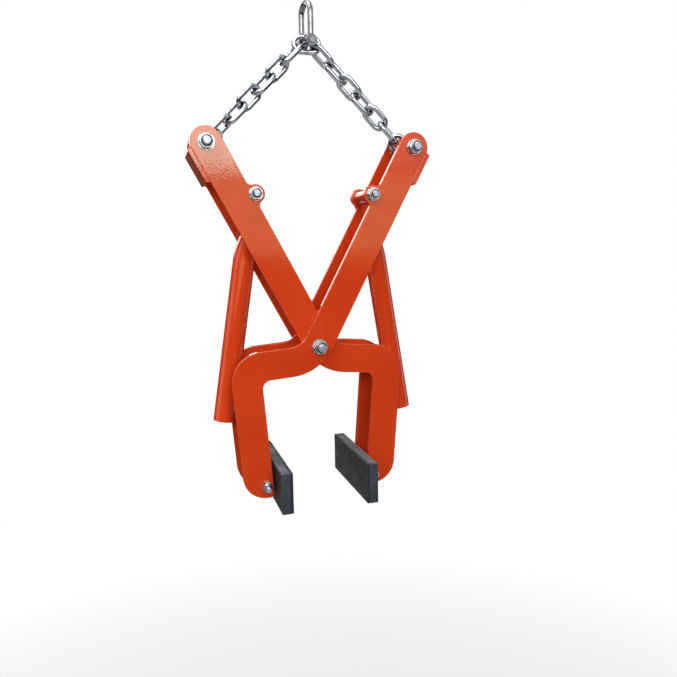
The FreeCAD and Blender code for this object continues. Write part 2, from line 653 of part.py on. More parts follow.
print("nodes", len(nodes))
print("pivot z %.3f  centre link z %.3f  leg angle %.3f" % (PIVOT_Z, CENTRE_LINK_Z, LEG_ANGLE))
for label, where in (("top bolt", TOP_BOLT), ("ear bolt", EAR_BOLT), ("pad bolt", PAD_BOLT)):
    print("%s x %.3f z %.3f" % (label, where.x, (where + PIVOT).z))
for node, shape in nodes.items():
    if not shape.isValid():
        print("not valid:", node)
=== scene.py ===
import json
import math

import bmesh
import bpy
from mathutils import Matrix, Vector


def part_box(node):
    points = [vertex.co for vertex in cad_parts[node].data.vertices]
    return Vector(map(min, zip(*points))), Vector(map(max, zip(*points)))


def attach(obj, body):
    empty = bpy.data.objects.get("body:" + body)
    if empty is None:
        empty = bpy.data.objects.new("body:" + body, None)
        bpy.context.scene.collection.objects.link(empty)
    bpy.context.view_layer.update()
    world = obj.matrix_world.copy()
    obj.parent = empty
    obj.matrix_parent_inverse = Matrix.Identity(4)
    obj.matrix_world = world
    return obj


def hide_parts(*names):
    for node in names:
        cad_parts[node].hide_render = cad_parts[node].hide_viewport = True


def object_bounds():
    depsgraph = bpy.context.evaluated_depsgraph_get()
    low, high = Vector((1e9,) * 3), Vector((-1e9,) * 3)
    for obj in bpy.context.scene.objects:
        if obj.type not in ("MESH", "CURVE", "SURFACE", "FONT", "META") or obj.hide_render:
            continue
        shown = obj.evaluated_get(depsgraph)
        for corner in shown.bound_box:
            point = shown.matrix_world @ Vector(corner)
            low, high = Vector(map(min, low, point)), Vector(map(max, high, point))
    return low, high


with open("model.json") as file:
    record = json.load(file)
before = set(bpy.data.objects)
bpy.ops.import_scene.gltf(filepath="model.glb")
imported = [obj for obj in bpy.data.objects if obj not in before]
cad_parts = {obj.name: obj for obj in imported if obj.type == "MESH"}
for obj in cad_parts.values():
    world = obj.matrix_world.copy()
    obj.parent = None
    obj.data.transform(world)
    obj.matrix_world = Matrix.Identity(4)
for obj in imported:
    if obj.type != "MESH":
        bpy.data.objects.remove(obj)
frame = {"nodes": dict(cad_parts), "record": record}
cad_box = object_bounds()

# Lifting tongs, dressed for the camera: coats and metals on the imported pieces, rubber pads with rounded
# edges, weld beads, screw threads, locking rings and the weld marks of the chain.
# Metres. +X to the right, +Y away from the viewer, +Z up; the origin is where the hook bears.
MM = 0.001

# Camera
CAMERA_PLACE = (-0.2557, -0.9911, -0.36795)
CAMERA_AZIMUTH = math.radians(-16.762)
CAMERA_ELEVATION = math.radians(7.676)
CAMERA_ROLL = math.radians(-1.015)
CAMERA_SENSOR = 36.0
CAMERA_LENS = 34.03
CAMERA_CLIP_START = 0.05
CAMERA_CLIP_END = 50.0

# Levers, as in the solids: plates, and the ends of the top tie along the arm
PLATE_THICKNESS = 8.0 * MM
LEVER_INSIDE = 56.0 * MM
LEVER_FRONT = -40.5 * MM
ARM_LEAN = math.radians(28.0)
ARM_OUTER = -20.3 * MM
TIE_LOW = 295.0 * MM
TIE_HIGH = 347.0 * MM

# Screw threads: thread diameter of each bolt, by the first word or words of its name
LARGE_THREAD = 12.0 * MM
SMALL_THREAD = 10.0 * MM
PAD_THREAD = 8.0 * MM
BOLTS = {
    "right_top": LARGE_THREAD,
    "left_top": LARGE_THREAD,
    "pivot": LARGE_THREAD,
    "right_ear": SMALL_THREAD,
    "left_ear": SMALL_THREAD,
    "right_pad": PAD_THREAD,
    "left_pad": PAD_THREAD,
}
THREAD_PITCH = 1.5 * MM
THREAD_RIDGE = 0.4 * MM
THREAD_SUNK = 0.1 * MM
THREAD_FOOT = 0.45 * THREAD_PITCH
THREAD_CREST = 0.06 * THREAD_PITCH
THREAD_STEPS = 40
BOLT_TIP_SHARE = 0.12

# Locking rings: the thickness is a share of the thread diameter
RING_SHARE = 0.075
RING_GAP = 0.2 * MM
RING_PROUD = 0.35 * MM
RING_SIDES = 12
RING_STEPS = 48

# Handles, as in the solids
HANDLE_LEAN = math.radians(9.2)
SLEEVE_RADIUS = 10.5 * MM
FLAT_HALF_THICKNESS = 6.0 * MM
FLAT_HALF_WIDTH = 23.0 * MM

# Weld beads: ripples of a pitch, each of a few rings, which grow and fade in a slow beat
BEAD_RADIUS = 2.4 * MM
SEAM_RADIUS = 1.8 * MM
SEAM_SUNK = 1.35 * MM
BEAD_PITCH = 1.6 * MM
BEAD_STEPS = 4
BEAD_RIPPLE = 0.06
BEAD_STEADY = 0.6
BEAD_BEAT = 0.83
BEAD_END = 0.35
BEAD_END_RADII = 1.5
BEAD_LAP = math.radians(378.0)
BEAD_SIDES = 12
HANDLE_BEAD_SHARE = 0.97

# Chain, as in the solids, and the raised weld mark of each link
LEG_ANGLE = math.radians(44.615)
LEFT_LEG_SPREAD = math.radians(0.5)
LINK_ROLLS = (72, -38, 52, -30, 48, -60, 16)
LINK_WIRE_RADIUS = 4.0 * MM
LINK_BAR_OFFSET = 11.0 * MM
FLASH_RADIUS = 0.75 * MM
FLASH_SUNK = 0.2 * MM
FLASH_SIDES = 8
FLASH_STEPS = 28

# Finishes: how much wide waves in the coat count beside its fine peel, how far out of a corner the
# painted shade reaches, and how far in from an edge wear does
COAT_WAVE = 2.0
COAT_BUMP = 0.5
COAT_IOR = 1.6
# The coat's reflections are tinted cool: a painted sky colour laid into its gloss.
COAT_PAINTED_SKY_TINT = (0.62, 1.0, 0.80, 1.0)
CORNER_SHADE_REACH = 2.4 * MM
EDGE_WEAR_REACH = 1.6 * MM
CORNER_SHADE_COLOUR = (0.030, 0.030, 0.034)
MATT_SHEEN = 0.25
PLASTIC_SHEEN = 0.2

# Pads: rounded edges, and the pocket for the bracket plate
PAD_BEVEL = 1.6 * MM
PAD_BEVEL_STEPS = 3
ROUND_PROFILE = 0.5
BRACKET_PLATE_THICKNESS = 5.0 * MM
BRACKET_PLATE_MARGIN = 5.0 * MM

# Stage: the tongs hang above a floor, between two curved dark cards that gloss and metal reflect
FLOOR_DROP = 1.7
FLOOR_RADIUS = 4.0
FLOOR_FADE_START = 1.4
FLOOR_SIDES = 96
FLOOR_COLOUR = (0.90, 0.90, 0.90, 1.0)
CARD_RADIUS = 4.2
CARD_TURN = math.radians(150.0)
FRONT_CARD_TOP = 0.30
REAR_CARD_TOP = 1.20
CARD_STEPS = 48
CARD_COLOUR = (0.06, 0.055, 0.05, 1.0)
STAGE_ROUGHNESS = 0.9
WHITE = (1.0, 1.0, 1.0)

# Soft boxes upright before (-1) or behind (1) the tongs: way, left, right, low and high edge, power, tint
WALL_LIGHT_DEPTH = 3.0
WALL_LIGHTS = {
    "sky_light": (-1, -2.6, 1.2, 0.13, 1.3, 76.0, WHITE),
    "low_light": (-1, -2.6, 1.6, -0.38, 0.13, 8.0, (1.0, 0.97, 0.62)),
    "rear_light": (1, -2.4, 0.2, 0.06, 1.1, 26.0, WHITE),
}
TOP_LIGHT_PLACE = (-1.1, -0.2, 2.0)
TOP_LIGHT_TARGET = (0.0, 0.0, -0.35)
TOP_LIGHT_SIZE = 2.6
TOP_LIGHT_POWER = 75.0
ROOM_LIGHT = 0.40

# Points nearer than this are one point
MERGE_REACH = 0.001 * MM


def body_of(node):
    """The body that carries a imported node."""
    for body, members in frame["record"]["behaviour"]["bodies"].items():
        if node in members:
            return body
    raise KeyError(node)


def middle_of(node):
    """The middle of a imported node's box."""
    low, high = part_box(node)
    return (low + high) / 2


PIVOT = middle_of("pivot_sleeve")


def turn_to_side(place, side):
    """A place on the right lever, or the same place on the left lever, which is turned half round."""
    if side == "right":
        return place
    return Vector((-place.x, -place.y, place.z))


def arm_place(side, along, across, depth):
    """A point on an arm: along it from the pivot, across it towards its inner edge, and its depth."""
    x = along * math.sin(ARM_LEAN) - across * math.cos(ARM_LEAN)
    z = along * math.cos(ARM_LEAN) + across * math.sin(ARM_LEAN)
    return turn_to_side(Vector((x, depth, z + PIVOT.z)), side)


# Materials

def start_material(name):
    """A new material, its node tree and its shader."""
    material = bpy.data.materials.new(name)
    material.use_nodes = True
    tree = material.node_tree
    return material, tree, tree.nodes["Principled BSDF"]


def add_node(tree, kind, inputs=None, **settings):
    """A shader node with its settings and the fixed values of its inputs."""
    made = tree.nodes.new(kind)
    for setting, value in settings.items():
        setattr(made, setting, value)
    for socket, value in (inputs or {}).items():
        made.inputs[socket].default_value = value
    return made


def object_noise(tree, scale, detail, stretch=(1, 1, 1)):
    """Noise in the piece's own place, so that it stays with the piece; stretched along an axis if asked."""
    place = add_node(tree, "ShaderNodeTexCoord")
    mapping = add_node(tree, "ShaderNodeMapping", {"Scale": stretch})
    noise = add_node(tree, "ShaderNodeTexNoise", {"Scale": scale, "Detail": detail})
    tree.links.new(place.outputs["Object"], mapping.inputs["Vector"])
    tree.links.new(mapping.outputs["Vector"], noise.inputs["Vector"])
    return noise.outputs["Fac"]


def to_range(tree, source, low, high, from_low=0.3, from_high=0.7):
    """A value carried from one range to another, and kept within it."""
    spread = add_node(
        tree,
        "ShaderNodeMapRange",
        {"From Min": from_low, "From Max": from_high, "To Min": low, "To Max": high},
    )
    tree.links.new(source, spread.inputs["Value"])
    return spread.outputs["Result"]


def between(tree, share, first, second):
    """A colour between two colours, each a fixed colour or another node's output."""
    mix = add_node(tree, "ShaderNodeMix", data_type="RGBA")
    tree.links.new(share, mix.inputs["Factor"])
    for socket, colour in (("A", first), ("B", second)):
        target = next(s for s in mix.inputs if s.name == socket and s.type == "RGBA")
        if isinstance(colour, tuple):
            target.default_value = (*colour, 1.0)
        else:
            tree.links.new(colour, target)
    return next(s for s in mix.outputs if s.type == "RGBA")


def bumped(tree, shader, height, strength, distance):
    """Fine unevenness on a shader, from a height."""
    bump = add_node(tree, "ShaderNodeBump", {"Strength": strength, "Distance": distance})
    tree.links.new(height, bump.inputs["Height"])
    tree.links.new(bump.outputs["Normal"], shader.inputs["Normal"])


def painted_corner_shade(tree):
    """A share that grows in corners and narrow gaps: painted shade, darkest where the gap is tightest."""
    corners = add_node(tree, "ShaderNodeAmbientOcclusion", {"Distance": CORNER_SHADE_REACH}, samples=8)
    return to_range(tree, corners.outputs["AO"], 1.0, 0.0, from_low=0.40, from_high=0.92)


def worn_edges(tree):
    """A share that grows along outside edges, where a piece rubs."""
    rounded = add_node(tree, "ShaderNodeBevel", {"Radius": EDGE_WEAR_REACH}, samples=6)
    flat = add_node(tree, "ShaderNodeNewGeometry")
    alike = add_node(tree, "ShaderNodeVectorMath", operation="DOT_PRODUCT")
    tree.links.new(rounded.outputs["Normal"], alike.inputs[0])
    tree.links.new(flat.outputs["Normal"], alike.inputs[1])
    return to_range(tree, alike.outputs["Value"], 1.0, 0.0, from_low=0.86, from_high=0.99)


def dust_and_top_light(tree):
    """A share that grows in patches on faces that look up: part settled dust, part painted light falling
    from above.
    """
    place = add_node(tree, "ShaderNodeTexCoord")
    parts = add_node(tree, "ShaderNodeSeparateXYZ")
    tree.links.new(place.outputs["Normal"], parts.inputs[0])
    upward = to_range(tree, parts.outputs["Z"], 0.0, 1.0, from_low=0.4, from_high=0.9)
    drifts = object_noise(tree, scale=80.0, detail=6.0, stretch=(1.0, 0.35, 1.0))
    patchy = to_range(tree, drifts, 0.15, 0.75, from_low=0.35, from_high=0.65)
    return times(tree, upward, patchy)


def times(tree, first, second):
    """The product of two values."""
    product = add_node(tree, "ShaderNodeMath", operation="MULTIPLY")
    tree.links.new(first, product.inputs[0])
    tree.links.new(second, product.inputs[1])
    return product.outputs[0]


def make_coat():
    """Glossy vermilion powder coat: faint orange peel, cloudy tone and a few fine rub marks."""
    material, tree, shader = start_material("orange_coat")
    cloud = to_range(tree, object_noise(tree, scale=9.0, detail=4.0), 0.0, 1.0)
    tone = between(tree, cloud, (0.590, 0.044, 0.008), (0.660, 0.056, 0.010))
    streaks = object_noise(tree, scale=60.0, detail=6.0, stretch=(1.0, 1.0, 0.12))
    rub = to_range(tree, streaks, 0.0, 0.30, from_low=0.60, from_high=0.78)
    colour = between(tree, rub, tone, (0.66, 0.10, 0.04))
    tree.links.new(colour, shader.inputs["Base Color"])
    gloss = to_range(tree, object_noise(tree, scale=22.0, detail=5.0), 0.05, 0.11)
    tree.links.new(gloss, shader.inputs["Roughness"])
    shader.inputs["IOR"].default_value = COAT_IOR
    # Painted reflection: the gloss carries a cool sky colour whatever lamp lights it.
    shader.inputs["Specular Tint"].default_value = COAT_PAINTED_SKY_TINT
    peel = object_noise(tree, scale=260.0, detail=3.0)
    wave = object_noise(tree, scale=34.0, detail=2.0)
    uneven = add_node(tree, "ShaderNodeMath", {1: COAT_WAVE}, operation="MULTIPLY_ADD")
    tree.links.new(wave, uneven.inputs[0])
    tree.links.new(peel, uneven.inputs[2])
    bumped(tree, shader, uneven.outputs[0], strength=COAT_BUMP, distance=0.1 * MM)
    return material


def make_zinc(name, dull, bright, tarnish, roughness, spotting=0.4):
    """Zinc plating: cloudy, with dull spots, an uneven surface and painted shade in its corners and gaps.
    """
    material, tree, shader = start_material(name)
    cloud = to_range(tree, object_noise(tree, scale=70.0, detail=6.0), 0.0, 1.0)
    tone = between(tree, cloud, dull, bright)
    specks = object_noise(tree, scale=160.0, detail=5.0)
    spots = to_range(tree, specks, 0.0, spotting, from_low=0.62, from_high=0.78)
    spotted = between(tree, spots, tone, tarnish)
    # Painted shade: the plating is darkened in corners and narrow gaps, where shadow would fall.
    colour = between(tree, painted_corner_shade(tree), spotted, CORNER_SHADE_COLOUR)
    tree.links.new(colour, shader.inputs["Base Color"])
    gloss = to_range(tree, object_noise(tree, scale=120.0, detail=4.0), *roughness)
    tree.links.new(gloss, shader.inputs["Roughness"])
    shader.inputs["Metallic"].default_value = 1.0
    grain = object_noise(tree, scale=300.0, detail=2.0)
    bumped(tree, shader, grain, strength=0.05, distance=0.2 * MM)
    return material


def make_matt(name, dark, light, scuff_and_top_light):
    """Rubber or matt coat: fine-grained, rubbed pale on its faces and edges, and paler on top, partly from
    dust and partly as painted light from above.
    """
    material, tree, shader = start_material(name)
    cloud = to_range(tree, object_noise(tree, scale=45.0, detail=6.0), 0.0, 1.0)
    tone = between(tree, cloud, dark, light)
    streaks = object_noise(tree, scale=150.0, detail=7.0, stretch=(1.0, 0.3, 1.0))
    rub = to_range(tree, streaks, 0.0, 0.55, from_low=0.58, from_high=0.80)
    rubbed = between(tree, rub, tone, scuff_and_top_light)
    patches = object_noise(tree, scale=110.0, detail=5.0)
    patchy = to_range(tree, patches, 0.1, 0.9, from_low=0.36, from_high=0.62)
    worn = between(tree, times(tree, worn_edges(tree), patchy), rubbed, scuff_and_top_light)
    # Paler on faces that look up: settled dust, and painted light from above.
    colour = between(tree, dust_and_top_light(tree), worn, scuff_and_top_light)
    tree.links.new(colour, shader.inputs["Base Color"])
    gloss = to_range(tree, object_noise(tree, scale=60.0, detail=4.0), 0.55, 0.80)
    tree.links.new(gloss, shader.inputs["Roughness"])
    shader.inputs["Specular IOR Level"].default_value = MATT_SHEEN
    grain = object_noise(tree, scale=900.0, detail=4.0)
    bumped(tree, shader, grain, strength=0.35, distance=0.4 * MM)
    return material


def make_plastic(name, first, second):
    """Turned plastic: slightly waxy, with a faint cloud."""
    material, tree, shader = start_material(name)
    cloud = to_range(tree, object_noise(tree, scale=200.0, detail=4.0), 0.0, 1.0)
    tree.links.new(between(tree, cloud, first, second), shader.inputs["Base Color"])
    gloss = to_range(tree, object_noise(tree, scale=150.0, detail=3.0), 0.45, 0.60)
    tree.links.new(gloss, shader.inputs["Roughness"])
    shader.inputs["Specular IOR Level"].default_value = PLASTIC_SHEEN
    grain = object_noise(tree, scale=800.0, detail=2.0)
    bumped(tree, shader, grain, strength=0.08, distance=0.2 * MM)
    return material


COAT = make_coat()
CHAIN_ZINC = make_zinc(
    "chain_zinc",
    dull=(0.29, 0.31, 0.34),
    bright=(0.42, 0.44, 0.48),
    tarnish=(0.20, 0.17, 0.15),
    roughness=(0.10, 0.20),
)
NUT_ZINC = make_zinc(
    "nut_zinc",
    dull=(0.46, 0.48, 0.51),
    bright=(0.60, 0.62, 0.65),
    tarnish=(0.24, 0.22, 0.20),
    roughness=(0.26, 0.38),
)
BOLT_ZINC = make_zinc(
    "bolt_zinc",
    dull=(0.24, 0.26, 0.31),
    bright=(0.42, 0.45, 0.52),
    tarnish=(0.12, 0.11, 0.11),
    roughness=(0.36, 0.52),
    spotting=0.7,
)
SHACKLE_ZINC = make_zinc(
    "shackle_zinc",
    dull=(0.17, 0.16, 0.16),
    bright=(0.29, 0.29, 0.30),
    tarnish=(0.13, 0.08, 0.06),
    roughness=(0.18, 0.30),
    spotting=0.8,
)
BLOCK_RUBBER = make_matt(
    "grey_rubber",
    dark=(0.026, 0.031, 0.044),
    light=(0.045, 0.052, 0.070),
    scuff_and_top_light=(0.20, 0.20, 0.21),
)
FACING_RUBBER = make_matt(
    "black_rubber",
    dark=(0.013, 0.013, 0.015),
    light=(0.025, 0.025, 0.028),
    scuff_and_top_light=(0.09, 0.09, 0.09),
)
BLACK_COAT = make_matt(
    "black_coat",
    dark=(0.008, 0.008, 0.009),
    light=(0.014, 0.014, 0.015),
    scuff_and_top_light=(0.05, 0.047, 0.044),
)
SHIM_PLASTIC = make_plastic("shim_plastic", (0.030, 0.030, 0.032), (0.055, 0.055, 0.058))
# Locking rings: very dark, partly the plastic's own colour and partly painted shade of the recess inside
# the nut's collar.
RING_PLASTIC_AND_SHADE = make_plastic("locking_ring_plastic_and_shade", (0.006, 0.008, 0.018), (0.012, 0.016, 0.030))

ORANGE_WORDS = ("_plate", "_tie", "_handle_neck", "_handle_tube", "_handle_sleeve")
for node, packed in frame["nodes"].items():
    finish = CHAIN_ZINC
    if node.endswith(ORANGE_WORDS):
        finish = COAT
    elif node.endswith(("_pad_bracket", "_pad_sleeve")):
        finish = BLACK_COAT
    elif node.endswith("_block"):
        finish = BLOCK_RUBBER
    elif node.endswith("_facing"):
        finish = FACING_RUBBER
    elif node.endswith("_shims"):
        finish = SHIM_PLASTIC
    elif node == "shackle_bow":
        finish = SHACKLE_ZINC
    elif node.endswith(("_locknut", "_washers")):
        finish = NUT_ZINC
    elif node.endswith("_bolt"):
        finish = BOLT_ZINC
    packed.data.materials.clear()
    packed.data.materials.append(finish)


# Pieces

def finish_piece(name, bm, body, material, smooth=True):
    """A mesh of clean outward faces, as a piece that rides on a body."""
    bmesh.ops.remove_doubles(bm, verts=bm.verts, dist=MERGE_REACH)
    bmesh.ops.recalc_face_normals(bm, faces=bm.faces)
    for face in bm.faces:
        face.smooth = smooth
    mesh = bpy.data.meshes.new(name)
    bm.to_mesh(mesh)
    bm.free()
    mesh.materials.append(material)
    piece = bpy.data.objects.new(name, mesh)
    bpy.context.scene.collection.objects.link(piece)
    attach(piece, body)
    return piece


def aim(direction):
    """A turn that carries +Z to a direction."""
    return direction.to_track_quat("Z", "Y").to_matrix().to_4x4()


def close_ends(bm):
    """Fills the open rims of a tube."""
    rims = [e for e in bm.edges if e.is_boundary]
    bmesh.ops.holes_fill(bm, edges=rims)


def add_bead(bm, path, length, radius=BEAD_RADIUS):
    """A rippled weld bead along a path, which gives a point for each share of its length."""
    count = max(2, int(length / BEAD_PITCH)) * BEAD_STEPS
    heading = path(1.0 / count) - path(0.0)
    ring = bmesh.ops.create_circle(bm, segments=BEAD_SIDES, radius=radius * BEAD_END)["verts"]
    bmesh.ops.transform(bm, matrix=Matrix.Translation(path(0.0)) @ aim(heading), verts=ring)
    rim = list({e for v in ring for e in v.link_edges})
    size = BEAD_END
    for i in range(1, count + 1):
        share = i / count
        grown = bmesh.ops.extrude_edge_only(bm, edges=rim)
        ring = [g for g in grown["geom"] if isinstance(g, bmesh.types.BMVert)]
        rim = [g for g in grown["geom"] if isinstance(g, bmesh.types.BMEdge)]
        rim = [e for e in rim if e.verts[0] in ring and e.verts[1] in ring]
        here = path(share)
        bmesh.ops.translate(bm, verts=ring, vec=here - path((i - 1) / count))
        onward = path((i + 0.5) / count) - path((i - 0.5) / count)
        turn = heading.rotation_difference(onward).to_matrix()
        bmesh.ops.rotate(bm, verts=ring, cent=here, matrix=turn)
        heading = onward
        from_end = min(share, 1 - share) * length
        swell = math.sqrt(from_end / (BEAD_END_RADII * radius))
        beat = BEAD_RIPPLE * (BEAD_STEADY + (1 - BEAD_STEADY) * math.sin(BEAD_BEAT * i))
        ripple = 1.0 + beat * math.sin(2 * math.pi * i / BEAD_STEPS)
        wanted = min(1.0, BEAD_END + (1 - BEAD_END) * swell) * ripple
        around = Matrix.Translation(here)
        bmesh.ops.scale(bm, verts=ring, vec=Vector((1, 1, 1)) * (wanted / size), space=around.inverted())
        size = wanted


def straight(start, end):
    """A straight path, by the share of its length."""
    return lambda share: start.lerp(end, share)


def make_top_tie_welds(side):
    """Beads that hold a top tie: along the inside corners, and across each plate's edge at both ends."""
    bm = bmesh.new()
    front = LEVER_FRONT
    faces = (front + PLATE_THICKNESS, front + PLATE_THICKNESS + LEVER_INSIDE)
    for depth in faces:
        start = arm_place(side, TIE_LOW + BEAD_RADIUS, ARM_OUTER, depth)
        end = arm_place(side, TIE_HIGH - BEAD_RADIUS, ARM_OUTER, depth)
        add_bead(bm, straight(start, end), (end - start).length)
    back = front + 2 * PLATE_THICKNESS + LEVER_INSIDE
    for depth in (front + SEAM_SUNK, back - SEAM_SUNK):
        start = arm_place(side, TIE_LOW + SEAM_RADIUS, ARM_OUTER, depth)
        end = arm_place(side, TIE_HIGH - SEAM_RADIUS, ARM_OUTER, depth)
        add_bead(bm, straight(start, end), (end - start).length, SEAM_RADIUS)
    outsides = (front, front + PLATE_THICKNESS + LEVER_INSIDE)
    for along in (TIE_LOW, TIE_HIGH):
        for depth in outsides:
            start = arm_place(side, along, ARM_OUTER, depth + MM)
            end = arm_place(side, along, ARM_OUTER, depth + PLATE_THICKNESS - MM)
            add_bead(bm, straight(start, end), (end - start).length)
    close_ends(bm)
    finish_piece(side + "_top_tie_welds", bm, side + "_lever", COAT)


def make_shoulder_tie_welds(side):
    """A bead round each end of a shoulder tie, which laps over its own start."""
    node = side + "_lever_shoulder_tie"
    low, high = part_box(node)
    centre = (low + high) / 2
    radius = (high.x - low.x) / 2
    bm = bmesh.new()
    for depth in (low.y, high.y):

        def path(share, depth=depth):
            turn = BEAD_LAP * share
            return Vector((centre.x + radius * math.cos(turn), depth, centre.z + radius * math.sin(turn)))

        add_bead(bm, path, BEAD_LAP * radius)
    close_ends(bm)
    finish_piece(side + "_shoulder_tie_welds", bm, side + "_lever", COAT)


def make_handle_welds(side):
    """A bead on each face of a handle's flat, where the flat meets its sleeve."""
    sign = 1 if side == "right" else -1
    centre = middle_of(side + "_handle_sleeve")
    bm = bmesh.new()
    for face in (1, -1):

        def path(share, face=face):
            depth = FLAT_HALF_WIDTH * (2 * share - 1) * HANDLE_BEAD_SHARE
            thin = face * FLAT_HALF_THICKNESS * math.sqrt(1 - (depth / FLAT_HALF_WIDTH) ** 2)
            down = math.sqrt(SLEEVE_RADIUS ** 2 - thin ** 2)
            x = sign * (thin * math.cos(HANDLE_LEAN) + down * math.sin(HANDLE_LEAN))
            z = thin * math.sin(HANDLE_LEAN) - down * math.cos(HANDLE_LEAN)
            return centre + Vector((x, depth, z))

        add_bead(bm, path, 2 * FLAT_HALF_WIDTH)
    close_ends(bm)
    finish_piece(side + "_handle_welds", bm, side + "_handle", COAT)


def make_thread(prefix, diameter):
    """The turns of the screw thread on a bolt's end, from inside its nut to its tip."""
    bolt = prefix + "_bolt"
    nut_low, nut_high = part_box(prefix + "_locknut")
    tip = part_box(bolt)[0].y + BOLT_TIP_SHARE * diameter
    centre = (nut_low + nut_high) / 2
    turns = int((nut_low.y + THREAD_PITCH - tip) / THREAD_PITCH)
    root = diameter / 2 - THREAD_SUNK
    bm = bmesh.new()
    corners = (
        (root, -THREAD_FOOT),
        (root + THREAD_RIDGE, -THREAD_CREST),
        (root + THREAD_RIDGE, THREAD_CREST),
        (root, THREAD_FOOT),
    )
    start = tip + THREAD_PITCH / 2
    ring = [bm.verts.new((centre.x + r, start + y, centre.z)) for r, y in corners]
    profile = bm.faces.new(ring)
    bmesh.ops.spin(
        bm,
        geom=[profile, *profile.edges, *profile.verts],
        cent=(centre.x, start, centre.z),
        axis=(0, 1, 0),
        dvec=(0, THREAD_PITCH / THREAD_STEPS, 0),
        angle=2 * math.pi * turns,
        steps=THREAD_STEPS * turns,
    )
    finish_piece(prefix + "_thread", bm, body_of(bolt), BOLT_ZINC, smooth=False)


def make_locking_ring(prefix, diameter):
    """The plastic ring set in a locknut's collar, a little proud of its rim; its very dark colour is partly
    the plastic's own and partly painted shade of the recess inside the collar.
    """
    nut = prefix + "_locknut"
    low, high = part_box(nut)
    centre = (low + high) / 2
    bm = bmesh.new()
    thick = RING_SHARE * diameter
    section = bmesh.ops.create_circle(bm, segments=RING_SIDES, radius=thick)
    reach = diameter / 2 + RING_GAP + thick
    place = Matrix.Translation((centre.x + reach, low.y + thick - RING_PROUD, centre.z))
    bmesh.ops.transform(bm, matrix=place, verts=section["verts"])
    bmesh.ops.spin(
        bm,
        geom=[*bm.verts, *bm.edges],
        cent=centre,
        axis=(0, 1, 0),
        angle=2 * math.pi,
        steps=RING_STEPS,
        use_merge=True,
    )
    finish_piece(prefix + "_locking_ring", bm, body_of(nut), RING_PLASTIC_AND_SHADE)


def add_flash(bm, bar_middle, along):
    """The raised weld mark round the middle of a chain link's side bar."""
    earlier = set(bm.verts)
    section = bmesh.ops.create_circle(bm, segments=FLASH_SIDES, radius=FLASH_RADIUS)["verts"]
    stand = Matrix.Translation((LINK_WIRE_RADIUS - FLASH_SUNK, 0, 0)) @ Matrix.Rotation(math.pi / 2, 4, "X")
    bmesh.ops.transform(bm, matrix=stand, verts=section)
    rim = list({e for v in section for e in v.link_edges})
    bmesh.ops.spin(
        bm,
        geom=[*section, *rim],
        cent=(0, 0, 0),
        axis=(0, 0, 1),
        angle=2 * math.pi,
        steps=FLASH_STEPS,
        use_merge=True,
    )
    mark = [v for v in bm.verts if v not in earlier]
    bmesh.ops.transform(bm, matrix=Matrix.Translation(bar_middle) @ aim(along), verts=mark)


def link_frame(side, number):
    """The long direction of a chain link and the way to the side bar that was welded."""
    angle = LEG_ANGLE
    if side == "left" and number < len(LINK_ROLLS):
        angle += LEFT_LEG_SPREAD
    roll = math.radians(LINK_ROLLS[number - 1])
    along = Vector((math.sin(angle), 0, -math.cos(angle)))
    to_bar = Vector((math.cos(roll) * math.cos(angle), -math.sin(roll), math.cos(roll) * math.sin(angle)))
    return turn_to_side(along, side), turn_to_side(to_bar, side)


def make_link_welds():
    """Weld marks of all the links, one piece for each chain body."""
    meshes = {}
    centre = middle_of("chain_centre_link")
    meshes["chain_centre"] = bmesh.new()
    add_flash(meshes["chain_centre"], centre - Vector((0, 0, LINK_BAR_OFFSET)), Vector((1, 0, 0)))
    for side in ("right", "left"):
        for number in range(1, len(LINK_ROLLS) + 1):
            node = "%s_link_%d" % (side, number)
            body = body_of(node)
            if body not in meshes:
                meshes[body] = bmesh.new()
            along, to_bar = link_frame(side, number)
            add_flash(meshes[body], middle_of(node) + to_bar * LINK_BAR_OFFSET, along)
    for body, bm in meshes.items():
        finish_piece(body + "_weld_marks", bm, body, CHAIN_ZINC)


def rounded_slab(node):
    """A slab in a packed slab's place, with rounded edges."""
    low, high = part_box(node)
    bm = bmesh.new()
    bmesh.ops.create_cube(bm, size=1.0)
    bmesh.ops.scale(bm, vec=high - low, verts=bm.verts)
    bmesh.ops.translate(bm, vec=(low + high) / 2, verts=bm.verts)
    bmesh.ops.bevel(
        bm,
        geom=list(bm.edges),
        offset=PAD_BEVEL,
        offset_type="OFFSET",
        affect="EDGES",
        segments=PAD_BEVEL_STEPS,
        profile=ROUND_PROFILE,
        material=-1,
    )
    return bm


def make_pad_facing(side):
    """The black facing of a pad."""
    node = side + "_pad_facing"
    piece = finish_piece(node + "_rubber", rounded_slab(node), body_of(node), FACING_RUBBER)
    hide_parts(node)


def make_pad_block(side):
    """The grey block of a pad, with the pocket in its back that holds the bracket plate."""
    node = side + "_pad_block"
    bm = rounded_slab(node)
    backward = Vector((1, 0, 0)) if side == "right" else Vector((-1, 0, 0))
    bm.normal_update()
    back = max(bm.faces, key=lambda face: face.normal.dot(backward) * face.calc_area())
    bmesh.ops.inset_region(bm, faces=[back], thickness=BRACKET_PLATE_MARGIN - PAD_BEVEL)
    grown = bmesh.ops.extrude_face_region(bm, geom=[back])
    floor = [g for g in grown["geom"] if isinstance(g, bmesh.types.BMVert)]
    bmesh.ops.translate(bm, vec=-backward * BRACKET_PLATE_THICKNESS, verts=floor)
    bmesh.ops.delete(bm, geom=[back], context="FACES_ONLY")
    piece = finish_piece(node + "_rubber", bm, body_of(node), BLOCK_RUBBER)
    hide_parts(node)


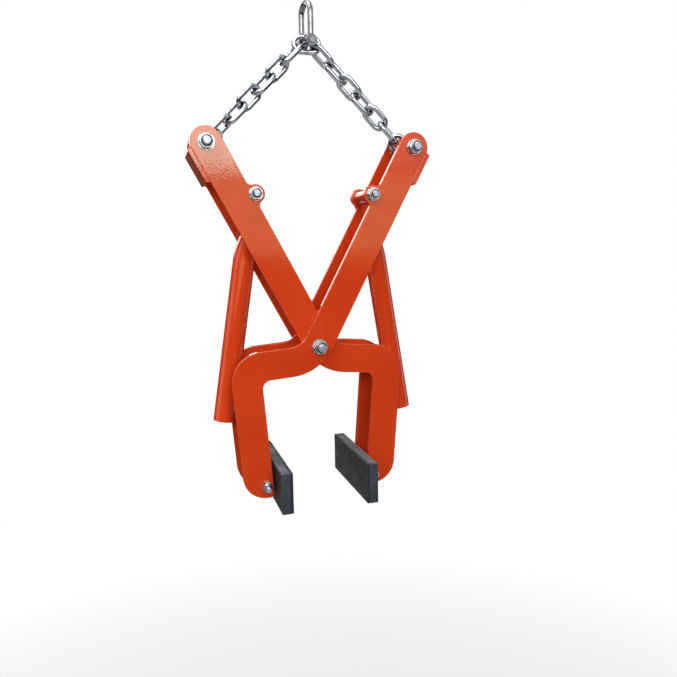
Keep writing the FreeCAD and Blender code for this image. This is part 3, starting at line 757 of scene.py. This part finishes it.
for lever_side in ("right", "left"):
    make_top_tie_welds(lever_side)
    make_shoulder_tie_welds(lever_side)
    make_handle_welds(lever_side)
    make_pad_facing(lever_side)
    make_pad_block(lever_side)
for bolt_prefix, thread_diameter in BOLTS.items():
    make_thread(bolt_prefix, thread_diameter)
    make_locking_ring(bolt_prefix, thread_diameter)
make_link_welds()


# Stage, light and camera

def seen_rays(tree):
    """1 for what the eye, metal or glass sees, and 0 for the light that falls on things."""
    rays = add_node(tree, "ShaderNodeLightPath")
    mirrored = add_node(tree, "ShaderNodeMath", operation="MAXIMUM")
    tree.links.new(rays.outputs["Is Camera Ray"], mirrored.inputs[0])
    tree.links.new(rays.outputs["Is Glossy Ray"], mirrored.inputs[1])
    seen = add_node(tree, "ShaderNodeMath", operation="MAXIMUM")
    tree.links.new(mirrored.outputs[0], seen.inputs[0])
    tree.links.new(rays.outputs["Is Transmission Ray"], seen.inputs[1])
    return seen.outputs[0]


def mixed_shader(tree, share, first, second):
    """A shader between two others."""
    mix = add_node(tree, "ShaderNodeMixShader")
    tree.links.new(share, mix.inputs["Fac"])
    tree.links.new(first.outputs[0], mix.inputs[1])
    tree.links.new(second.outputs[0], mix.inputs[2])
    return mix


def place_stage(name, bm, material):
    """A mesh that stands round the tongs and is not part of them."""
    mesh = bpy.data.meshes.new(name)
    bm.to_mesh(mesh)
    bm.free()
    mesh.materials.append(material)
    staged = bpy.data.objects.new(name, mesh)
    bpy.context.scene.collection.objects.link(staged)
    return staged


def make_floor():
    """A wide pale floor below the tongs, which fades into the white world at its rim."""
    material, tree, shader = start_material("pale_floor")
    shader.inputs["Base Color"].default_value = FLOOR_COLOUR
    shader.inputs["Roughness"].default_value = STAGE_ROUGHNESS
    shader.inputs["Specular IOR Level"].default_value = 0.1
    place = add_node(tree, "ShaderNodeTexCoord")
    reach = add_node(tree, "ShaderNodeVectorMath", operation="LENGTH")
    tree.links.new(place.outputs["Object"], reach.inputs[0])
    fade = to_range(tree, reach.outputs["Value"], 0.0, 1.0, FLOOR_FADE_START, FLOOR_RADIUS)
    clear = add_node(tree, "ShaderNodeBsdfTransparent")
    faded = mixed_shader(tree, fade, shader, clear)
    tree.links.new(faded.outputs[0], tree.nodes["Material Output"].inputs["Surface"])
    bm = bmesh.new()
    made = bmesh.ops.create_circle(bm, cap_ends=True, segments=FLOOR_SIDES, radius=FLOOR_RADIUS)
    bmesh.ops.translate(bm, vec=(0, 0, cad_box[0].z - FLOOR_DROP), verts=made["verts"])
    place_stage("floor", bm, material)


def make_cards():
    """Two curved dark cards, before and behind the tongs, which the camera looks past."""
    material, _, shader = start_material("dark_card")
    shader.inputs["Base Color"].default_value = CARD_COLOUR
    shader.inputs["Roughness"].default_value = STAGE_ROUGHNESS
    ground = cad_box[0].z - FLOOR_DROP
    for name, facing, top in (("front_card", 0.0, FRONT_CARD_TOP), ("rear_card", math.pi, REAR_CARD_TOP)):
        foot = Matrix.Rotation(facing - CARD_TURN / 2, 3, "Z") @ Vector((0, -CARD_RADIUS, ground))
        bm = bmesh.new()
        low = bm.verts.new(foot)
        high = bm.verts.new((foot.x, foot.y, top))
        upright = [low, high, bm.edges.new((low, high))]
        bmesh.ops.spin(bm, geom=upright, cent=(0, 0, 0), axis=(0, 0, 1), angle=CARD_TURN, steps=CARD_STEPS)
        card = place_stage(name, bm, material)
        card.visible_camera = False


def make_world():
    """White all round to the eye, to metal and through glass, and a plain soft light on everything else."""
    world = bpy.data.worlds.new("studio")
    bpy.context.scene.world = world
    world.use_nodes = True
    tree = world.node_tree
    tree.nodes.clear()
    light = add_node(tree, "ShaderNodeBackground", {"Color": (*WHITE, 1.0), "Strength": ROOM_LIGHT})
    white = add_node(tree, "ShaderNodeBackground", {"Color": (*WHITE, 1.0), "Strength": 1.0})
    mix = mixed_shader(tree, seen_rays(tree), light, white)
    out = add_node(tree, "ShaderNodeOutputWorld")
    tree.links.new(mix.outputs[0], out.inputs["Surface"])


def make_soft_box(name, place, target, width, height, power, colour=WHITE):
    """A rectangular soft box at a place, facing a target."""
    lamp = bpy.data.lights.new(name, "AREA")
    lamp.shape = "RECTANGLE"
    lamp.size = width
    lamp.size_y = height
    lamp.energy = power
    lamp.color = colour
    box = bpy.data.objects.new(name, lamp)
    bpy.context.scene.collection.objects.link(box)
    box.location = place
    box.rotation_mode = "QUATERNION"
    box.rotation_quaternion = (Vector(target) - Vector(place)).to_track_quat("-Z", "Y")


def make_wall_light(name, way, left, right, low, high, power, colour):
    """An upright soft box, by the sides and the lower and upper edges that it has."""
    x = (left + right) / 2
    z = (low + high) / 2
    place = (x, way * WALL_LIGHT_DEPTH, z)
    make_soft_box(name, place, (x, 0, z), right - left, high - low, power, colour)


def make_camera():
    """The camera where the photograph was taken from."""
    right = Vector((math.cos(CAMERA_AZIMUTH), math.sin(CAMERA_AZIMUTH), 0))
    flat = math.cos(CAMERA_ELEVATION)
    ahead = Vector((-math.sin(CAMERA_AZIMUTH), math.cos(CAMERA_AZIMUTH), 0))
    view = ahead * flat - Vector((0, 0, math.sin(CAMERA_ELEVATION)))
    up = right.cross(view)
    across = right * math.cos(CAMERA_ROLL) + up * math.sin(CAMERA_ROLL)
    upward = up * math.cos(CAMERA_ROLL) - right * math.sin(CAMERA_ROLL)
    lens = bpy.data.cameras.new("camera")
    lens.sensor_fit = "HORIZONTAL"
    lens.sensor_width = CAMERA_SENSOR
    lens.lens = CAMERA_LENS
    lens.clip_start = CAMERA_CLIP_START
    lens.clip_end = CAMERA_CLIP_END
    camera = bpy.data.objects.new("camera", lens)
    bpy.context.scene.collection.objects.link(camera)
    turn = Matrix((across, upward, -view)).transposed()
    camera.matrix_world = Matrix.Translation(CAMERA_PLACE) @ turn.to_4x4()
    bpy.context.scene.camera = camera


make_floor()
make_world()
make_cards()
for light_name, light in WALL_LIGHTS.items():
    make_wall_light(light_name, *light)
make_soft_box(
    "top_light",
    TOP_LIGHT_PLACE,
    TOP_LIGHT_TARGET,
    TOP_LIGHT_SIZE,
    TOP_LIGHT_SIZE,
    TOP_LIGHT_POWER,
)
make_camera()
bpy.context.scene.view_settings.view_transform = "Standard"
